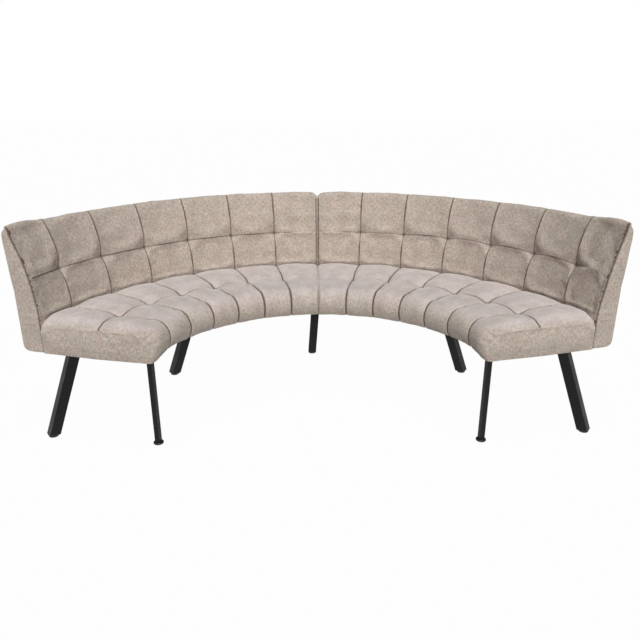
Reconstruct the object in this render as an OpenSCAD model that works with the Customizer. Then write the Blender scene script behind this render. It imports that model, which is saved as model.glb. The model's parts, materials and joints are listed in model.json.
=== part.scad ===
// Half-round upholstered bench: two mirrored modules joined in the middle, on seven
// steel legs with levelling glides. +X runs along the bench, +Y points to its rear,
// +Z is up. Sectors are drawn about the centre of the bench's arc, on the floor.

/* [Plan] */
// Angle that each module covers, seen from the centre of the arc
module_angle = 74.2; // [70:0.1:77]
// Width of the outermost pad as a share of the other pads
outer_pad_share = 0.84; // [0.7:0.01:1]
// Radius of the seat's front face
seat_front_r = 628; // [610:1:650]
// Radius of the line where the seat meets the back
crease_r = 1113; // [1100:1:1130]
// Gap between the two modules, measured at the seat's front
joint_gap = 2; // [1:0.5:4]

/* [Seat] */
// Height of the bottom edge at the bench's ends and rear
edge_z = 350; // [340:1:360]
// Height of the seat's seams above that edge
seat_h = 130; // [120:1:145]
// Radius of the seam between the two rows of seat pads
seat_row_r = 860; // [840:1:880]
// Radius of the seat's rolled front edge
seat_roll = 52; // [42:1:58]
// How far the front face draws in at its bottom edge
front_tuck = 14; // [8:1:18]
// How far the seat's outer end drops at its border
end_drop = 24; // [15:1:28]
// How far the front corner draws in at the outer end
corner_draw = 34; // [20:1:40]
// Height of the seat pads' crown above their seams
seat_crown = 12; // [8:1:16]
// Rise of a seat seam between two stitched crossings
seat_seam_rise = 9; // [5:1:12]
// Thickness of the foam in front of the seat frame
front_foam = 30; // [26:1:36]

/* [Back] */
// Lean of the back's front face
back_lean = 12.6; // [10:0.1:14]
// Height of the seam between the two rows of back pads, above the seat's seams
back_row_h = 163; // [140:1:180]
// Height of the back's top edge above the seat's seams
back_h = 347; // [335:1:360]
// Height of the back pads' crown above their seams
back_crown = 13; // [8:1:16]
// Rise of a back seam between two stitched crossings
back_seam_rise = 9; // [5:1:12]
// Thickness of the back foam where it stands on the base rail
foam_base_t = 17; // [14:1:20]
// Thickness of the back foam under the top edge
foam_top_t = 8; // [7:0.5:9]
// Depth of the back at its bottom edge, from the crease to the outside
back_depth = 92; // [82:1:95]
// Thickness of the covered board on the outside of the back
outer_back_t = 6; // [4:0.5:7]

/* [Frame] */
// How far the seat frame's underside sits above the bottom edge at the ends
frame_up = 34; // [30:1:36]
// Height of the seat rails
rail_h = 42; // [38:1:46]
// Thickness of the curved rails
rail_t = 24; // [20:1:27]
// Thickness of the plywood seat deck
deck_t = 12; // [9:1:15]
// Thickness of the ribs and posts
rib_t = 22; // [18:1:26]
// Thickness of the bent plywood back panel
back_panel_t = 5; // [4:0.5:6]
// Height of the strip along the top of the posts
top_rail_h = 40; // [30:1:50]
// Thickness of that strip
top_rail_t = 8.75; // [8:0.25:10]
// Thickness of the dust cover
dust_cover_t = 1; // [0.8:0.1:1.5]

/* [Legs] */
// Width of the rear legs' square tube
rear_tube_w = 40; // [35:1:42]
// Width of the front legs' square tube
front_tube_w = 20; // [18:1:25]
// Wall of the leg tubes
tube_wall = 2; // [1.5:0.1:2.5]
// Thickness of the legs' mounting plates
plate_t = 6; // [5:0.5:6.5]
// How far in front of the crease the rear legs meet the seat
rear_top_in = 103; // [97:1:110]
// How far the rear legs splay to the rear
rear_splay = 101; // [82:1:110]
// How far the front legs stand behind the front of the seat frame
front_leg_in = 16; // [13:1:30]
// Sideways lean of the centre leg's foot
centre_foot_shift = 30; // [0:1:35]
// Sideways place of the centre leg's top
centre_top_shift = 6; // [0:1:12]
// Diameter of the glides' discs
glide_d = 40; // [34:1:42]
// Thickness of the glides' discs
glide_h = 8; // [6:0.5:10]
// Diameter of the glides' studs
stud_d = 8; // [6:1:10]
// Length of the glides' studs
stud_len = 28; // [26:1:30]

/* [Fasteners] */
// Diameter of the leg bolts
leg_bolt_d = 8; // [6:1:8]
// Length of the leg bolts under the head
leg_bolt_len = 25; // [22:1:30]
// Diameter of the bolts between seat frame and back frame
frame_bolt_d = 8; // [6:1:8]
// Number of bolts between seat frame and back frame in each module
frame_bolt_count = 5; // [3:1:6]

/* [Hidden] */
$fn = 48;

// Clearance between pieces that lie against each other
fit = 0.3;
// Overrun of every cut past the faces it goes through
over = 1;
// Radial clearance of a glide's stud in its plug
stud_clear = 0.05;
// Clearance around a bolt in a drilled hole
bolt_clear = 0.3;
// Wall of an insert nut around its bolt
insert_wall = 1.5;
// Length of an insert nut
insert_len = 13;
// Share of a bolt's diameter that its head or nut is wide, and thick
hex_share = 1.9;
hex_t_share = 0.68;

// Heights of the seams, of the seat frame and of the back's top edge
seat_z = edge_z + seat_h;
frame_z = edge_z + frame_up;
back_row_z = seat_z + back_row_h;
back_top_z = seat_z + back_h;
outer_back_r = crease_r + back_depth;
// Radius of the rolled top edge, over the foam, panel, strip and board under it
top_roll = (foam_top_t + back_panel_t + top_rail_t + outer_back_t + 2 * fit)
  / (1 + 1 / cos(back_lean));

// Pads
columns = 7;
pad_steps = 6;
pad_pitch = module_angle / (columns - 1 + outer_pad_share);
start_angle = asin(joint_gap / 2 / seat_front_r);
// Angles that the end wraps of foam and the back's end panels take
end_wrap = 0.7;
joint_wrap = 0.8;
end_panel_angle = 0.8;
joint_panel_angle = 0.5;
panel_gap_angle = 0.02;
frame_a0 = joint_wrap;
frame_a1 = module_angle - end_wrap;
back_frame_a1 = module_angle - end_panel_angle - panel_gap_angle;
wrap_step = 0.03;
// Angles over which the ends round off
end_round = 3.4;
joint_round = 1.3;
// Drop of the seat and back at the joint
joint_drop = 6;
// How far the seat's front hem hangs below the frame, and the angle over which it comes
// down to the bottom edge at the outer end
hem_over = 2;
hem_fall_angle = 14;
// Drop and draw of the back's pads at the outer end
back_end_draw = 4;
// Sharpness of the pads: lower is puffier
puff = 0.6;
// Distance from the crease over which the pads of seat and back gain their height
crease_hold = 20;
// Half a turn in degrees
half_turn = 180;
// Least foam between the fabric and the front of the frame
least_foam = 3;

// Heights and radii of the frame; the top foam hooks down over the frame's top by hook_h
frame_r0 = seat_front_r + front_foam;
deck_z = frame_z + rail_h;
deck_top = deck_z + deck_t;
rear_rail_r1 = crease_r - fit;
rear_rail_r0 = rear_rail_r1 - rail_t;
base_rail_r0 = crease_r + fit;
base_rail_r1 = base_rail_r0 + rail_t;
back_foam_z = deck_top + fit;
hook_h = 10;
hook_z = back_top_z - top_roll - hook_h;
lean_slope = tan(back_lean);
function front_line(z) = crease_r + max(0, z - seat_z) * lean_slope;
// Centre of the rolled top edge
roll_z = back_top_z - top_roll;
roll_r = front_line(roll_z) + top_roll / cos(back_lean);
rear_top_edge_r = roll_r + top_roll;
// Front face of the bent panel, and the inside of the outer board
panel_r0 = crease_r + foam_base_t;
panel_r1 = front_line(hook_z) + foam_top_t;
function panel_front(z) = panel_r0
  + (panel_r1 - panel_r0) * (z - back_foam_z) / (hook_z - back_foam_z);
function panel_rear(z) = panel_front(z) + back_panel_t + fit;
function board_out(z) = outer_back_r
  + (rear_top_edge_r - outer_back_r) * (z - edge_z) / (roll_z - edge_z);
function board_in(z) = board_out(z) - outer_back_t - fit;

function bump(t) = pow(max(0, sin(half_turn * t)), puff);
function pad(u, v, crown, rise) = crown * bump(u) * bump(v) + rise * (bump(u) + bump(v)) / 2;
// Quarter-round fall-off: 1 at the very end, 0 at width w and beyond
function round_off(e, w) = e >= w ? 0 : 1 - sqrt(1 - pow(1 - max(0, e) / w, 2));

// Stations along the arc: angle, place in its pad, and whether the frame lies inside
function column_start(k) = k * pad_pitch;
function column_width(k) = k == columns - 1 ? module_angle - column_start(k) : pad_pitch;
function pad_place(a) = let (k = min(columns - 1, floor(a / pad_pitch + 0.0001)))
  (a - column_start(k)) / column_width(k);
function inner_angles() = [for (k = [0 : columns - 1], j = [0 : pad_steps - 1])
  if (k + j > 0) column_start(k) + j / pad_steps * column_width(k)];
function seat_angles() = concat([start_angle, frame_a0 - wrap_step, frame_a0],
  inner_angles(), [frame_a1, frame_a1 + wrap_step, module_angle]);
function back_angles() = concat([start_angle + joint_panel_angle + panel_gap_angle],
  inner_angles(), [back_frame_a1]);
function round_at(a, outer, joint) = outer * round_off(module_angle - a, end_round)
  + joint * round_off(a - start_angle, joint_round);

// Seat's outer path: [radius, height, normal in r, normal in z, place in its row]
seat_rear_steps = 6;
seat_front_steps = 12;
roll_start_r = seat_front_r + seat_roll;
flat_len = seat_row_r - roll_start_r;
arc_len = seat_roll * PI / 2;
face_len = seat_z - seat_roll - edge_z;
front_len = flat_len + arc_len + face_len;
function rear_row_path(t) =
  [crease_r - fit + (seat_row_r - crease_r + fit) * t, seat_z, 0, 1, t];
function front_row_path(t) = let (s = t * front_len)
  s < flat_len ? [seat_row_r - s, seat_z, 0, 1, t]
  : s < flat_len + arc_len
    ? let (q = 90 * (s - flat_len) / arc_len)
      [roll_start_r - seat_roll * sin(q), seat_z - seat_roll + seat_roll * cos(q),
       -sin(q), cos(q), t]
    : let (f = (s - flat_len - arc_len) / face_len)
      [seat_front_r + front_tuck * f * f, edge_z + face_len * (1 - f), -1, 0, t];
seat_path = concat([for (i = [0 : seat_rear_steps - 1]) rear_row_path(i / seat_rear_steps)],
  [for (i = [0 : seat_front_steps]) front_row_path(i / seat_front_steps)]);

// Lift of the seat's front hem above the bottom edge at the ends
function hem_lift(a) = (frame_up - hem_over)
  * (1 - pow(max(0, 1 - (module_angle - a) / hem_fall_angle), 2));

// One cross-section of the seat cushion at angle a: outer path, then the hollow over the
// frame; the ends have no frame inside, and the joint's end stops above the leg plates
function seat_section(a) = let (
  at_joint = a < frame_a0 - wrap_step / 2,
  framed = !at_joint && a <= frame_a1 + wrap_step / 2,
  drop = round_at(a, end_drop, joint_drop),
  draw = round_at(a, corner_draw, joint_drop),
  lift = hem_lift(a),
  hollow_z = at_joint ? frame_z : deck_top + fit,
  lip_r = frame_r0 - fit,
  span = crease_r - fit - lip_r)
  concat([for (p = seat_path) let (
      h = pad(pad_place(a), p[4], seat_crown, seat_seam_rise)
        * min(1, (crease_r - fit - p[0]) / crease_hold),
      high = (p[1] - edge_z) / (seat_z - edge_z),
      low = max(0, 1 - (p[1] - edge_z) / face_len),
      near = max(0, (seat_row_r - p[0]) / (seat_row_r - seat_front_r)),
      room = framed && p[1] < deck_top ? max(0, lip_r - least_foam - p[0]) : corner_draw)
      [p[0] + p[2] * h + min(room, draw * near * near),
       p[1] + p[3] * h - drop * high + lift * low]],
    framed || at_joint
    ? [[lip_r, edge_z + lift], [lip_r, hollow_z], [crease_r - fit, hollow_z]]
    : [[lip_r + corner_draw / 2, edge_z], [lip_r + span / 2, edge_z], [crease_r - fit, edge_z]]);

// Back's outer path, from the foam's foot up the front face and over the top
back_low_steps = 6;
back_high_steps = 7;
back_roll_steps = 5;
back_foot_z = seat_z + 2 * fit;
face_top_z = roll_z + top_roll * sin(back_lean);
high_len = (face_top_z - back_row_z) / cos(back_lean);
roll_turn = half_turn - back_lean;
roll_len = top_roll * PI * roll_turn / half_turn;
function low_row_path(t) = let (z = back_foot_z + (back_row_z - back_foot_z) * t)
  [front_line(z) + fit, z, -cos(back_lean), sin(back_lean), t];
function high_row_face(t) = let (z = back_row_z + (face_top_z - back_row_z) * t)
  [front_line(z), z, -cos(back_lean), sin(back_lean), t * high_len / (high_len + roll_len)];
function high_row_roll(t) = let (q = roll_turn * (1 - t))
  [roll_r + top_roll * cos(q), roll_z + top_roll * sin(q), cos(q), sin(q),
   (high_len + t * roll_len) / (high_len + roll_len)];
back_path = concat([for (i = [0 : back_low_steps - 1]) low_row_path(i / back_low_steps)],
  [for (i = [0 : back_high_steps - 1]) high_row_face(i / back_high_steps)],
  [for (i = [0 : back_roll_steps]) high_row_roll(i / back_roll_steps)]);

function top_share(z) = max(0, (z - hook_z) / (back_top_z - hook_z));
function back_section(a) = let (drop = round_at(a, back_end_draw, joint_drop))
  concat([[crease_r + fit, back_foam_z]],
    [for (p = back_path) let (
      h = pad(pad_place(a), p[4], back_crown, back_seam_rise)
        * min(1, (p[1] - back_foot_z) / crease_hold))
      [p[0] + p[2] * h, p[1] + p[3] * h - drop * top_share(p[1])]],
    [[rear_top_edge_r, hook_z + fit], [panel_front(hook_z) - fit, hook_z + fit],
     [panel_front(back_foam_z) - fit, back_foam_z]]);

// Skin over a row of n sections of m points, with a cap of fans at both ends; a fan is
// [apex, first, last], and turned says which way round the sections run
function turn(face, turned) = turned ? [face[0], face[2], face[1]] : face;
function skin_faces(n, m, turned) = [for (i = [0 : n - 2], j = [0 : m - 1])
  let (a = i * m + j, b = i * m + (j + 1) % m, c = a + m, d = b + m)
  each [turn([a, c, b], turned), turn([b, c, d], turned)]];
function cap_faces(base, fans, m, turned) = [for (f = fans, j = [f[1] : f[2] - 1])
  turn([base + f[0], base + j % m, base + (j + 1) % m], turned)];
function closed_faces(n, m, first_fans, last_fans, turned) = concat(skin_faces(n, m, turned),
  cap_faces(0, first_fans, m, turned), cap_faces((n - 1) * m, last_fans, m, !turned));
function at_angle(s, a) = [s[0] * sin(a), s[0] * cos(a), s[1]];

seat_m = len(seat_path) + 3;
seat_points = [for (a = seat_angles()) for (s = seat_section(a)) at_angle(s, a)];
seat_joint_fans = [[seat_m - 2, seat_m - 1, 2 * seat_m - 3]];
seat_end_fans = [[seat_rear_steps, seat_rear_steps + 1, seat_m + seat_rear_steps - 1]];
back_m = len(back_path) + 4;
back_points = [for (a = back_angles()) for (s = back_section(a)) at_angle(s, a)];
back_fans = [[back_m - 1, 0, back_low_steps + 1], [back_m - 2, back_low_steps + 1, back_m - 3],
  [back_low_steps + 1, back_m - 2, back_m - 1]];

// The origin lies on the floor, midway between the foremost and rearmost points
all_y = [for (p = concat(seat_points, back_points)) p[1]];
panel_tip_y = (outer_back_r) * cos(start_angle);
origin_y = (min(all_y) + max(concat(all_y, [panel_tip_y]))) / 2;

module placed() { translate([0, -origin_y, 0]) children(); }
module right_side() { placed() children(); }
module left_side() { placed() mirror([1, 0, 0]) children(); }

// Solid of revolution between two angles, from an outline of [radius, height]
module sector(a0, a1, outline) {
  rotate([0, 0, 90 - a1]) rotate_extrude(angle = a1 - a0, $fn = 240) polygon(outline);
}
module ring_block(a0, a1, r0, r1, z0, z1) {
  sector(a0, a1, [[r0, z0], [r1, z0], [r1, z1], [r0, z1]]);
}
// Board on edge along a radius, from an outline of [radius, height]; side -1, 0 or 1
// puts it before, on or after the angle
module radial_board(a, side, outline) {
  rotate([0, 0, -a]) translate([side * rib_t / 2, 0, 0]) rotate([90, 0, 90])
    linear_extrude(rib_t, center = true) polygon(outline);
}

seat_fabric = [0.66, 0.61, 0.57];
ply = [0.78, 0.64, 0.44];
beech = [0.72, 0.55, 0.36];
black_steel = [0.09, 0.09, 0.09];
black_plastic = [0.06, 0.06, 0.06];
zinc = [0.7, 0.7, 0.72];

// Upholstery
module seat_cushion() color(seat_fabric)
  polyhedron(seat_points,
    closed_faces(len(seat_angles()), seat_m, seat_joint_fans, seat_end_fans, false));
module back_cushion() color(seat_fabric)
  polyhedron(back_points, closed_faces(len(back_angles()), back_m, back_fans, back_fans, true));

function side_outline(drop) = concat([[crease_r + fit, edge_z], [crease_r + fit, seat_z]],
  [for (p = back_path) if (p[1] > seat_z + top_roll)
    [p[0] + (p[1] < face_top_z ? fit : 0), p[1] - drop * top_share(p[1])]],
  [[outer_back_r, edge_z]]);
module back_end_panel() color(seat_fabric)
  sector(module_angle - end_panel_angle, module_angle, side_outline(back_end_draw));
module back_joint_panel() color(seat_fabric)
  sector(start_angle, start_angle + joint_panel_angle, side_outline(joint_drop));
module outer_back() color(seat_fabric)
  sector(start_angle + joint_panel_angle + panel_gap_angle, back_frame_a1,
    [[board_out(edge_z) - outer_back_t, edge_z], [board_out(edge_z), edge_z],
     [board_out(hook_z), hook_z], [board_out(hook_z) - outer_back_t, hook_z]]);

// Frame
module seat_deck() color(ply)
  ring_block(frame_a0, frame_a1, frame_r0, crease_r - fit, deck_z, deck_top);
module front_rail() color(beech)
  ring_block(frame_a0, frame_a1, frame_r0, frame_r0 + rail_t, frame_z, deck_z - fit / 3);
module drilled_rail(a1, r0, r1, z1) difference() {
  ring_block(frame_a0, a1, r0, r1, frame_z, z1);
  frame_bolt_places() translate([0, rear_rail_r0 - rail_t, 0]) rotate([-90, 0, 0])
    cylinder(d = frame_bolt_d + 2 * bolt_clear, h = 4 * rail_t);
}
module rear_rail() color(beech)
  drilled_rail(frame_a1, rear_rail_r0, rear_rail_r1, deck_z - fit / 3);
module base_rail() color(beech)
  drilled_rail(back_frame_a1, base_rail_r0, base_rail_r1, deck_top);

board_r0 = frame_r0 + rail_t + fit;
board_r1 = rear_rail_r0 - 2 * fit;
rib_outline = [[board_r0 + fit, frame_z], [board_r1, frame_z], [board_r1, deck_z - fit / 3],
  [board_r0 + fit, deck_z - fit / 3]];
// Seat ribs: one at each end and the others at these shares of the frame's angle
rib_shares = [0.26, 0.64];
module seat_ribs() color(beech) difference() {
  union() {
    radial_board(frame_a0, 1, rib_outline);
    radial_board(frame_a1, -1, rib_outline);
    for (s = rib_shares) radial_board(frame_a0 + (frame_a1 - frame_a0) * s, 0, rib_outline);
  }
  strap_bolt_places(1) translate([0, 0, frame_z - over])
    cylinder(d = strap_bolt_d + 2 * bolt_clear, h = leg_bolt_len + over);
}
// Back posts: one at each end and the others evenly between
post_count = 6;
top_rail_z = hook_z - top_rail_h;
post_r0 = base_rail_r1 + fit;
post_knee_z = back_foam_z + (post_r0 - panel_r0 - back_panel_t - fit)
  * (hook_z - back_foam_z) / (panel_r1 - panel_r0);
post_outline = [[post_r0, frame_z], [board_in(frame_z) - fit, frame_z],
  [board_in(top_rail_z) - fit, top_rail_z - fit / 3],
  [panel_rear(top_rail_z), top_rail_z - fit / 3],
  [post_r0, post_knee_z]];
function post_angle(i) = frame_a0 + (frame_a1 - frame_a0) * i / (post_count - 1);
module back_posts() color(beech) {
  radial_board(frame_a0, 1, post_outline);
  radial_board(back_frame_a1, -1, post_outline);
  for (i = [1 : post_count - 2]) radial_board(post_angle(i), 0, post_outline);
}
module top_rail() color(beech)
  sector(frame_a0, back_frame_a1, [[panel_rear(top_rail_z), top_rail_z],
    [board_in(top_rail_z), top_rail_z], [board_in(hook_z), hook_z],
    [panel_rear(hook_z), hook_z]]);
module back_panel() color(ply)
  sector(frame_a0, back_frame_a1, [[panel_front(back_foam_z), back_foam_z],
    [panel_front(back_foam_z) + back_panel_t, back_foam_z],
    [panel_front(hook_z) + back_panel_t, hook_z], [panel_front(hook_z), hook_z]]);

// Places along the frame where the seat rail and base rail are bolted together
frame_bolt_z = frame_z + rail_h / 2;
module frame_bolt_places() {
  step = (frame_a1 - frame_a0) / frame_bolt_count;
  for (i = [0 : frame_bolt_count - 1]) rotate([0, 0, -(frame_a0 + step * (i + 0.5))])
    translate([0, 0, frame_bolt_z]) children();
}

// Legs. A place is [foot radius, foot angle, top radius, top angle, frame angle]
rear_top_r = crease_r - rear_top_in;
rear_foot_r = rear_top_r + rear_splay;
front_leg_r = frame_r0 + front_leg_in;
// Middle rear leg at this share of the module's angle; the others at angles from its outer end
mid_top_share = 0.4713;
mid_splay_angle = 4.6;
end_top_in_angle = 3.2;
end_splay_angle = 4.5;
front_in_angle = 2.7;
mid_top_angle = module_angle * mid_top_share;
mid_foot_angle = mid_top_angle + mid_splay_angle;
end_top_angle = module_angle - end_top_in_angle;
end_foot_angle = end_top_angle + end_splay_angle;
front_leg_angle = module_angle - front_in_angle;
plate_z = frame_z - dust_cover_t - plate_t;
plug_flange = 3;
plug_depth = 32;
tube_z = glide_h + plug_flange;
function plan(r, a) = [r * sin(a), r * cos(a)];
end_top = plan(rear_top_r, end_top_angle);
end_foot = plan(rear_foot_r, end_foot_angle);
mid_top = plan(rear_top_r, mid_top_angle);
mid_foot = plan(rear_foot_r, mid_foot_angle);
front_top = plan(front_leg_r, front_leg_angle);
centre_top = [-centre_top_shift, rear_top_r];
centre_foot = [-centre_foot_shift, rear_foot_r];
splay_frame = module_angle / 2;

// Reach of the plates from their legs, and where the bolts sit between tube and edge
rear_plate_reach = 100;
rear_plate_half_w = 28;
centre_plate_reach = 85;
centre_plate_half_w = 45;
front_plate_reach = 72;
front_plate_side = 62;
plate_rim = 2;
bolt_edge = 12;
bolt_gap = 18;
// Plates: outline from the leg's top, [x from, x to, y from, y to], and bolt places
rear_plate = [-rear_plate_reach, rear_tube_w / 2 + plate_rim,
  -rear_plate_half_w, rear_plate_half_w];
rear_plate_bolts = [for (x = [rear_tube_w / 2 + bolt_gap, rear_plate_reach - bolt_edge],
  side = [-1, 1]) [-x, side * (rear_plate_half_w - bolt_edge)]];
centre_plate = [-centre_plate_reach, centre_plate_reach,
  -centre_plate_half_w, centre_plate_half_w];
centre_plate_bolts = [for (sx = [-1, 1], sy = [-1, 1])
  [sx * (centre_plate_reach - bolt_edge), sy * (centre_plate_half_w - bolt_edge)]];
front_plate = [-front_plate_reach, front_tube_w / 2 + plate_rim,
  -front_tube_w / 2 - plate_rim, front_plate_side];
front_bolt_near = front_tube_w / 2 + bolt_gap;
front_plate_bolts = [[-front_bolt_near, front_plate_side - bolt_edge],
  [bolt_edge - front_plate_reach, front_plate_side - bolt_edge],
  [bolt_edge - front_plate_reach, front_bolt_near]];

module leg_frame(top, turn) { translate([top[0], top[1], 0]) rotate([0, 0, -turn]) children(); }
// Direction from a leg's top to its foot, in the leg's own frame
function leg_run(top, foot, turn) = let (d = foot - top)
  [d[0] * cos(turn) - d[1] * sin(turn), d[0] * sin(turn) + d[1] * cos(turn)];
module along_leg(run) {
  slope_x = run[0] / (plate_z - glide_h);
  slope_y = run[1] / (plate_z - glide_h);
  lean_x = atan(slope_x);
  translate([0, 0, plate_z]) rotate([atan(slope_y * cos(lean_x)), -lean_x, 0]) children();
}
module level_slab(z0, z1, size) { translate([-size, -size, z0]) cube([2 * size, 2 * size, z1 - z0]); }
module square_bar(w, length) { translate([-w / 2, -w / 2, -length]) cube([w, w, 2 * length]); }
module tube_between(run, w, z0, z1) intersection() {
  level_slab(z0, z1, plate_z);
  along_leg(run) difference() {
    square_bar(w, 2 * plate_z);
    square_bar(w - 2 * tube_wall, 2 * plate_z + over);
  }
}
module plate(box, bolts) difference() {
  translate([box[0], box[2], plate_z]) cube([box[1] - box[0], box[3] - box[2], plate_t]);
  for (b = bolts) translate([b[0], b[1], plate_z - over])
    cylinder(d = leg_bolt_d + 2 * bolt_clear, h = plate_t + 2 * over);
}
weld_root = 1;
module leg(run, w, box, bolts) color(black_steel) union() {
  tube_between(run, w, tube_z, plate_z + weld_root);
  plate(box, bolts);
}
module plug(run, w) color(black_plastic) difference() {
  union() {
    intersection() {
      level_slab(tube_z - over, tube_z + plug_depth, plate_z);
      along_leg(run) square_bar(w - 2 * tube_wall - 2 * fit, 2 * plate_z);
    }
    intersection() {
      level_slab(glide_h, tube_z, plate_z);
      along_leg(run) square_bar(w, 2 * plate_z);
    }
  }
  translate([run[0], run[1], glide_h - over])
    cylinder(d = stud_d + 2 * stud_clear, h = stud_len + 3 * over);
}
module glide() color(black_plastic) {
  rim = glide_h / 4;
  rotate_extrude() polygon([[0, 0], [glide_d / 2 - rim, 0], [glide_d / 2, rim],
    [glide_d / 2, glide_h - rim], [glide_d / 2 - rim, glide_h], [stud_d / 2, glide_h],
    [stud_d / 2, glide_h + stud_len], [0, glide_h + stud_len]]);
}
end_run = leg_run(end_top, end_foot, splay_frame);
mid_run = leg_run(mid_top, mid_foot, splay_frame);
centre_run = leg_run(centre_top, centre_foot, 0);
front_run = [0, 0];
module leg_end() leg_frame(end_top, splay_frame)
  leg(end_run, rear_tube_w, rear_plate, rear_plate_bolts);
module leg_mid() leg_frame(mid_top, splay_frame)
  leg(mid_run, rear_tube_w, rear_plate, rear_plate_bolts);
module leg_front() leg_frame(front_top, module_angle)
  leg(front_run, front_tube_w, front_plate, front_plate_bolts);
module rear_plug_pair() {
  leg_frame(end_top, splay_frame) plug(end_run, rear_tube_w);
  leg_frame(mid_top, splay_frame) plug(mid_run, rear_tube_w);
}
module rear_leg_plugs() {
  right_side() rear_plug_pair();
  left_side() rear_plug_pair();
  placed() leg_frame(centre_top, 0) plug(centre_run, rear_tube_w);
}
module front_leg_plugs() {
  right_side() leg_frame(front_top, module_angle) plug(front_run, front_tube_w);
  left_side() leg_frame(front_top, module_angle) plug(front_run, front_tube_w);
}
module glide_at(foot) { translate([foot[0], foot[1], 0]) glide(); }

// Every bolt place of one module, then the two that the centre plate adds to it
module side_bolt_places() {
  leg_frame(end_top, splay_frame) for (b = rear_plate_bolts) translate(b) children();
  leg_frame(mid_top, splay_frame) for (b = rear_plate_bolts) translate(b) children();
  leg_frame(front_top, module_angle) for (b = front_plate_bolts) translate(b) children();
}
module centre_bolt_places(side) {
  for (b = centre_plate_bolts) if (b[0] * side > 0)
    translate([centre_top[0] + b[0], centre_top[1] + b[1]]) children();
}
// Places of the strap's bolts, in the ribs beside the joint
strap_bolt_d = 6;
strap_t = 4;
strap_set_back = 60;
strap_r = frame_r0 + strap_set_back;
strap_half_w = 15;
strap_x = strap_r * sin(frame_a0) + rib_t / 2;
module strap_bolt_places(side) {
  for (y = [-strap_half_w, strap_half_w]) translate([side * strap_x, strap_r + y]) children();
}
module all_leg_bolt_places(side) {
  mirror([side < 0 ? 1 : 0, 0, 0]) side_bolt_places() children();
  centre_bolt_places(side) children();
}
insert_r = leg_bolt_d / 2 + insert_wall;
insert_hole_share = 0.8;
module insert_holes(side) {
  mirror([side < 0 ? 1 : 0, 0, 0]) {
    all_leg_bolt_places(side) translate([0, 0, frame_z - over])
      cylinder(r = insert_r, h = rail_h * insert_hole_share);
  }
}
// Blocks over the plates: [angle from, angle to, radius from, radius to]
block_angle = 6.6;
block_past_angle = 1;
block_fit_angle = 0.1;
block_half = 55;
end_block_in = 80;
end_block_out = 40;
rib_angle = asin(rib_t / (rear_top_r - end_block_in)) + block_fit_angle;
front_rib_angle = asin(rib_t / board_r0) + block_fit_angle;
centre_block = [frame_a0 + rib_angle, block_angle, rear_top_r - block_half, rear_top_r + block_half];
mid_block = [mid_top_angle - block_angle, mid_top_angle + block_past_angle,
  rear_top_r - block_half, rear_top_r + block_half];
end_block = [end_top_angle - block_angle, frame_a1 - rib_angle,
  rear_top_r - end_block_in, rear_top_r + end_block_out];
front_block = [front_leg_angle - block_angle, frame_a1 - front_rib_angle,
  board_r0, front_leg_r + front_plate_side];
module leg_blocks(side) color(beech) difference() {
  for (b = [centre_block, mid_block, end_block, front_block])
    ring_block(b[0], b[1], b[2], b[3], frame_z, deck_z - fit / 3);
  insert_holes(side);
}
module dust_cover(side) color(black_plastic) difference() {
  ring_block(frame_a0, back_frame_a1, frame_r0 + fit, board_in(frame_z),
    frame_z - dust_cover_t, frame_z);
  mirror([side < 0 ? 1 : 0, 0, 0]) {
    all_leg_bolt_places(side) translate([0, 0, plate_z])
      cylinder(r = insert_r, h = plate_t + dust_cover_t + over);
    strap_bolt_places(side) translate([0, 0, plate_z])
      cylinder(d = strap_bolt_d + 2 * bolt_clear, h = plate_t + dust_cover_t + over);
  }
}
module hex_bolt(d, length) {
  translate([0, 0, -d * hex_t_share]) cylinder(d = d * hex_share, h = d * hex_t_share, $fn = 6);
  cylinder(d = d, h = length);
}
module leg_bolts() color(zinc) placed() for (side = [-1, 1])
  all_leg_bolt_places(side) translate([0, 0, plate_z]) hex_bolt(leg_bolt_d, leg_bolt_len);
module insert_nuts() color(zinc) placed() for (side = [-1, 1])
  all_leg_bolt_places(side) translate([0, 0, frame_z + fit]) difference() {
    cylinder(r = insert_r - fit / 3, h = insert_len);
    translate([0, 0, -over]) cylinder(d = leg_bolt_d + fit / 2, h = insert_len + 2 * over);
  }
module frame_bolt_set() frame_bolt_places() translate([0, rear_rail_r0 - fit / 2, 0])
  rotate([-90, 0, 0]) hex_bolt(frame_bolt_d, 2 * rail_t + frame_bolt_d + 2 * fit);
module frame_nut_set() frame_bolt_places() translate([0, base_rail_r1 + fit / 2, 0])
  rotate([-90, 0, 0]) difference() {
    cylinder(d = frame_bolt_d * hex_share, h = frame_bolt_d * hex_t_share, $fn = 6);
    translate([0, 0, -over]) cylinder(d = frame_bolt_d + fit / 2, h = 2 * frame_bolt_d);
  }
module joint_strap() color(black_steel) placed() difference() {
  translate([-strap_x - strap_half_w, strap_r - 2 * strap_half_w, frame_z - dust_cover_t - strap_t])
    cube([2 * (strap_x + strap_half_w), 4 * strap_half_w, strap_t]);
  for (side = [-1, 1]) strap_bolt_places(side) translate([0, 0, plate_z - over])
    cylinder(d = strap_bolt_d + 2 * bolt_clear, h = plate_t + 3 * over);
}
module strap_bolts() color(zinc) placed() for (side = [-1, 1])
  strap_bolt_places(side) translate([0, 0, frame_z - dust_cover_t - strap_t])
    hex_bolt(strap_bolt_d, leg_bolt_len);

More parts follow.
